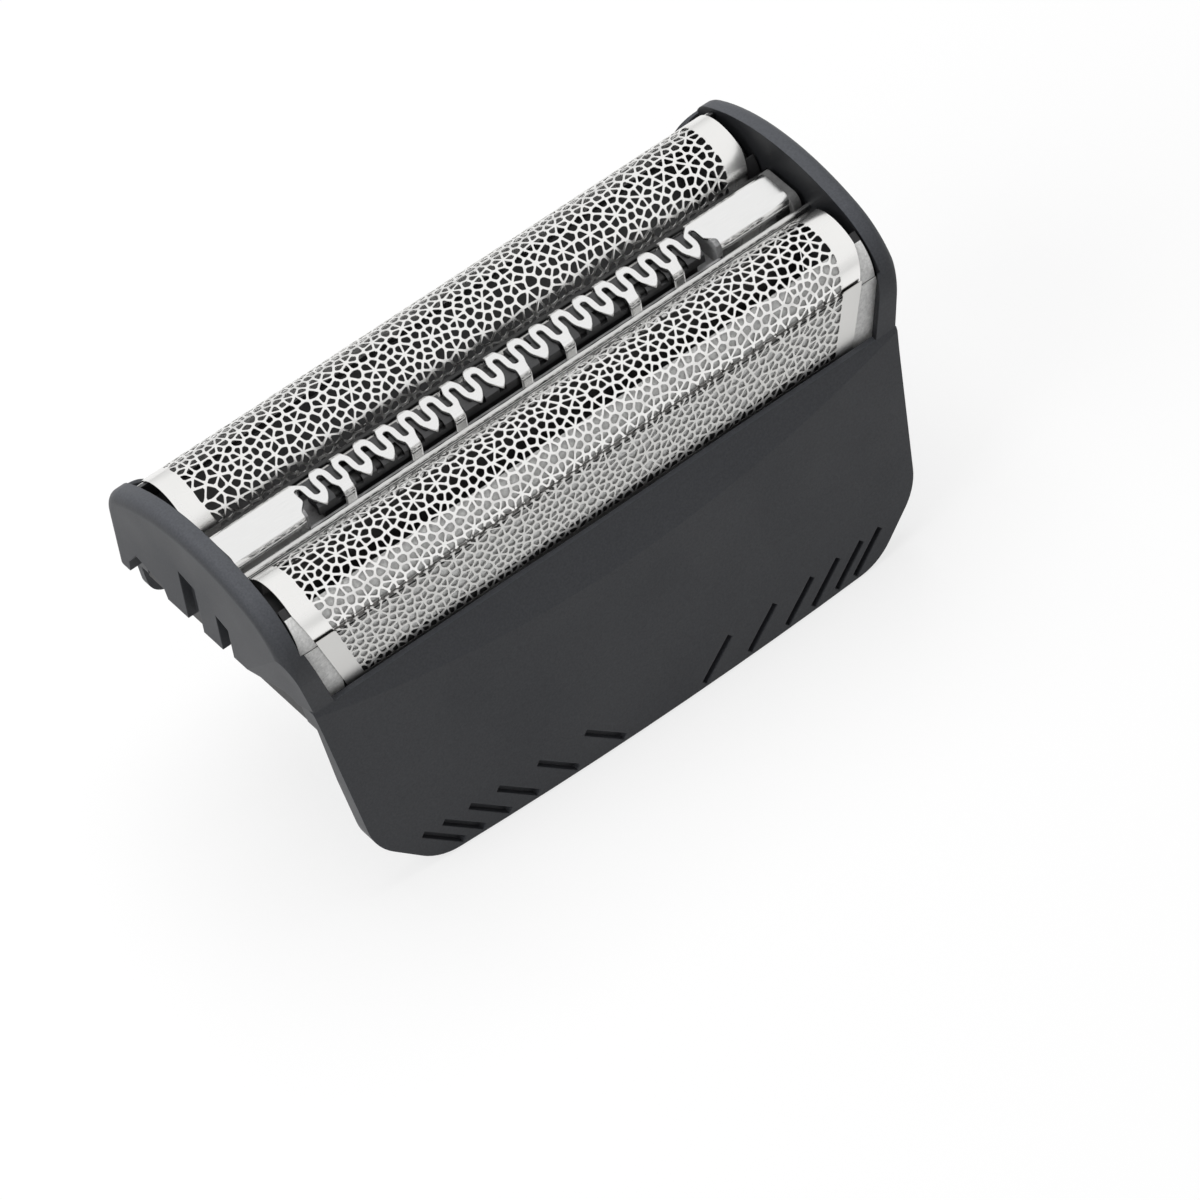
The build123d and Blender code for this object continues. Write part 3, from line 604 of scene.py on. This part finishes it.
# Trimmer comb: polished spring steel, slotted from both sides in turn and bent to a channel. Some
# of its fingers end as pointed leaves on the shoulder, and the others run down as legs to the
# side strip.
COMB_TOP, COMB_HALF_LENGTH = 26.7, 25.3
COMB_FLAT, COMB_BEND_R, COMB_LEG = 1.0, 0.8, 1.7
COMB_SHEET = 0.28
SLOTTED_HALF, FINGERS = 18.0, 18
SLOT_HALF, SLOT_PAST_MIDDLE = 0.25, 0.74
STRIP = 0.75
TIP_START, TIP_RUN = 0.25, 1.95
LEG_HALF, NECK_START, NECK_RUN = 0.48, 0.4, 1.0
NOTCH = 0.7
LEG_FINGERS, REAR_START = (False, True, False, False, True), 3
RIM = 0.06
FINE, COARSE, FINE_PAST_SLOTS = 0.08, 1.1, 0.6
COMB_SHARP_ANGLE = math.radians(50)
POLISHED_STEEL = (0.84, 0.84, 0.835)

finger_pitch = 2 * SLOTTED_HALF / FINGERS
bend = COMB_BEND_R * math.pi / 2
comb_half_run = COMB_FLAT + bend + COMB_LEG
strip_run = comb_half_run - STRIP


def eased_step(value):
    """A smooth step from 0 to 1."""
    value = min(max(value, 0.0), 1.0)
    return value * value * (3 - 2 * value)


def comb_metal(x, run):
    """How far a point of the unrolled comb lies inside its metal, negative in the slots."""
    inside = 1.0
    root = finger_pitch / 2 - SLOT_HALF
    for side, first, count, start in (
        (-1, -SLOTTED_HALF, FINGERS, 0),
        (1, finger_pitch / 2 - SLOTTED_HALF, FINGERS - 1, REAR_START),
    ):
        across = run * side
        place = (x - first) / finger_pitch
        slot = min(max(round(place), 0), count)
        nearest = min(max(across, SLOT_HALF - SLOT_PAST_MIDDLE), strip_run - SLOT_HALF)
        beside = math.hypot((place - slot) * finger_pitch, across - nearest)
        inside = min(inside, beside - SLOT_HALF)
        if across < 0 or across > strip_run:
            continue
        finger = math.floor(place)
        from_middle = abs(place - finger - 0.5) * finger_pitch
        neck = eased_step((across - NECK_START) / NECK_RUN)
        if finger < 0 or finger >= count:
            past_slot = -place if finger < 0 else place - count
            edge = past_slot * finger_pitch - SLOT_HALF - NOTCH * neck
        elif LEG_FINGERS[(finger + start) % len(LEG_FINGERS)]:
            edge = root + (LEG_HALF - root) * neck - from_middle
        else:
            to_tip = max(0.0, (across - TIP_START) / (TIP_RUN - TIP_START))
            edge = root * (1 - to_tip**2) - from_middle
        inside = min(inside, max(edge, across - strip_run))
    return inside


def on_comb(x, run, depth):
    """A point of the unrolled comb on the bent channel, with its rims eased."""
    if depth == 0:
        depth = max(0.0, RIM - max(comb_metal(x, run), 0.0))
    side, across = math.copysign(1, run), abs(run)
    if across < COMB_FLAT:
        return x, run, COMB_TOP - depth
    turn = min((across - COMB_FLAT) / COMB_BEND_R, math.pi / 2)
    rest = max(across - COMB_FLAT - bend, 0.0)
    r = COMB_BEND_R - depth
    z = COMB_TOP - COMB_BEND_R + r * math.cos(turn) - rest
    return x, side * (COMB_FLAT + r * math.sin(turn)), z


def comb_pattern():
    """The comb unrolled: a net of squares, cut along the slots."""
    fine_half = SLOTTED_HALF + FINE_PAST_SLOTS
    columns = list(np.linspace(-fine_half, fine_half, round(2 * fine_half / FINE) + 1))
    end_count = round((COMB_HALF_LENGTH - fine_half) / COARSE) + 1
    ends = list(np.linspace(fine_half, COMB_HALF_LENGTH, end_count))
    columns = [-x for x in reversed(ends[1:])] + columns + ends[1:]
    rows = list(np.linspace(-strip_run, strip_run, round(2 * strip_run / FINE) + 1))
    metal = [[comb_metal(x, run) for run in rows] for x in columns]
    sheet = Sheet()
    for i in range(len(columns) - 1):
        for j in range(len(rows) - 1):
            corners = [(i, j), (i + 1, j), (i + 1, j + 1), (i, j + 1)]
            values = [metal[a][b] for a, b in corners]
            if max(values) <= 0:
                continue
            ring = []
            for k in range(4):
                (a, b), (c, d) = corners[k], corners[(k + 1) % 4]
                here, there = values[k], values[(k + 1) % 4]
                if here > 0:
                    ring.append((columns[a], rows[b]))
                if here * there < 0:
                    share = here / (here - there)
                    x = columns[a] + (columns[c] - columns[a]) * share
                    ring.append((x, rows[b] + (rows[d] - rows[b]) * share))
            sheet.face(ring)
    return sheet


comb = joined("slotted_comb", [comb_pattern().bent(on_comb, COMB_SHEET, False)], COMB_SHARP_ANGLE)
comb_steel = drawn_steel(
    "polished_comb_steel", POLISHED_STEEL, roughness=0.15, line_size=0.05, line_depth=0.0006
)
for face in ("outer", "inner"):
    comb.data.materials.append(comb_steel)
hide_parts("trimmer_comb")
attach(comb, "trimmer")


# Side strips: two grey acetal ledges moulded along the base, one on each side. The comb's legs
# tuck in behind them.
STRIP_OUT, STRIP_FOOT, STRIP_TOP = 1.8, 24.2, 24.97
strip_bars = []
for near, far in ((-STRIP_OUT, COMB_SHEET - STRIP_OUT), (STRIP_OUT - COMB_SHEET, STRIP_OUT)):
    section = [(near, STRIP_FOOT), (far, STRIP_FOOT), (far, STRIP_TOP), (near, STRIP_TOP)]
    strip_bars.append(((-COMB_HALF_LENGTH, COMB_HALF_LENGTH), section))
strips = prisms_as("side_strips", strip_bars)
strips.data.materials.append(base_plastic)
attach(strips, "trimmer")


# End clips: small grey acetal plates that close the trimmer's ends. A key on each runs in a
# groove of the end wall, so the trimmer can sink on its springs.
CLIP_GREY = (0.12, 0.12, 0.12)
clip_plastic = moulded_plastic(
    "grey_clip_plastic",
    CLIP_GREY,
    gloss_range=(0.36, 0.5),
    grain_size=0.2,
    grain_depth=0.01,
    edge_round=0.1,
)
for clip_side in ("left_end_clip", "right_end_clip"):
    finish_node(clip_side, clip_plastic)


# Floor: a wide sheet of white paper that the head stands on. It keeps the head's shadow, and
# what looks at it directly or in metal sees it close to white.
FLOOR_HALF, FLOOR_DROP = 3.0, 0.0002
WHITE, PAPER = (1, 1, 1), (0.9, 0.9, 0.9)
GLOW_SHARE = 0.75


def seen_directly(add):
    """1 for what the camera sees, straight or in metal and glass, and 0 for what only lights."""
    rays = add("LightPath").outputs
    direct = rays["Is Camera Ray"]
    for kind in ("Is Glossy Ray", "Is Transmission Ray"):
        direct = add("Math", [(0, direct), (1, rays[kind])], operation="MAXIMUM").outputs[0]
    return direct


floor_mesh = bpy.data.meshes.new("floor")
sides = ((-1, -1), (1, -1), (1, 1), (-1, 1))
corners = [(x * FLOOR_HALF, y * FLOOR_HALF, 0) for x, y in sides]
floor_mesh.from_pydata(corners, [], [(0, 1, 2, 3)])
floor = bpy.data.objects.new("floor", floor_mesh)
floor.location.z = -FLOOR_DROP
bpy.context.scene.collection.objects.link(floor)
paper, paper_links, paper_shader, paper_add = new_material("white_paper")
paper_shader.inputs["Base Color"].default_value = (*PAPER, 1)
paper_shader.inputs["Roughness"].default_value = 0.9
paper_shader.inputs["Specular IOR Level"].default_value = 0.1
glow = paper_add("Emission", [("Color", (*WHITE, 1)), ("Strength", 1.0)])
share = paper_add("Math", [(0, seen_directly(paper_add)), (1, GLOW_SHARE)], operation="MULTIPLY")
layers = [(0, share.outputs[0]), (1, paper_shader.outputs[0]), (2, glow.outputs[0])]
surface = paper.node_tree.nodes["Material Output"].inputs["Surface"]
paper_links.new(paper_add("MixShader", layers).outputs[0], surface)
floor_mesh.materials.append(paper)


# Room and lamps: a white room, a little darker near the ground, and two soft boxes, one on the
# left and a larger one overhead.
ROOM_LIGHT, ROOM_SEEN = 0.3, 1.0
ROOM_SHADES, ROOM_RISE = (0.7, 1.0), (0.0, 0.45)
LAMP_AIM = (0, 0, 0.02)

world = bpy.data.worlds.new("white_surround")
bpy.context.scene.world = world
world.use_nodes = True
room_add, room_links = node_maker(world.node_tree), world.node_tree.links
room = world.node_tree.nodes["Background"]
way = room_add("TexCoord").outputs["Generated"]
rise = room_add("SeparateXYZ", [("Vector", way)]).outputs["Z"]
room_links.new(shaded(room_add, rise, WHITE, ROOM_SHADES, ROOM_RISE), room.inputs["Color"])
level = spread(room_add, seen_directly(room_add), (0.0, 1.0), (ROOM_LIGHT, ROOM_SEEN))
room_links.new(level, room.inputs["Strength"])


def soft_lamp(name, place, size, power):
    """A square soft box that looks at the head."""
    lamp = bpy.data.lights.new(name, "AREA")
    lamp.size, lamp.energy = size, power
    made = bpy.data.objects.new(name, lamp)
    made.location = place
    made.rotation_euler = (Vector(LAMP_AIM) - Vector(place)).to_track_quat("-Z", "Y").to_euler()
    made.visible_glossy = False
    bpy.context.scene.collection.objects.link(made)


soft_lamp("left_box", place=(-0.45, 0.0, 0.35), size=0.4, power=1.6)
soft_lamp("top_box", place=(0.05, 0.2, 0.6), size=0.5, power=3.0)


# Camera: a long lens that looks down on the head from the upper left front. It is turned a
# little on its own axis.
CAMERA_AIM = Vector((-3.9, -14.6, 16.0)) * MM
CAMERA_AZIMUTH, CAMERA_ELEVATION, CAMERA_ROLL = -29.5, 47.58, -11.1
CAMERA_DISTANCE, CAMERA_LENS, CAMERA_SENSOR = 0.8607, 360.2, 36.0
azimuth, elevation = math.radians(CAMERA_AZIMUTH), math.radians(CAMERA_ELEVATION)
level_reach = math.cos(elevation)
back = Vector(
    (math.sin(azimuth) * level_reach, -math.cos(azimuth) * level_reach, math.sin(elevation))
)
lens = bpy.data.cameras.new("camera")
lens.sensor_width, lens.lens = CAMERA_SENSOR, CAMERA_LENS
lens.clip_start, lens.clip_end = 0.05, 20
camera = bpy.data.objects.new("camera", lens)
camera.matrix_world = (
    Matrix.Translation(CAMERA_AIM + back * CAMERA_DISTANCE)
    @ (-back).to_track_quat("-Z", "Y").to_matrix().to_4x4()
    @ Matrix.Rotation(math.radians(CAMERA_ROLL), 4, "Z")
)
bpy.context.scene.collection.objects.link(camera)
bpy.context.scene.camera = camera
bpy.context.scene.view_settings.view_transform = "Standard"
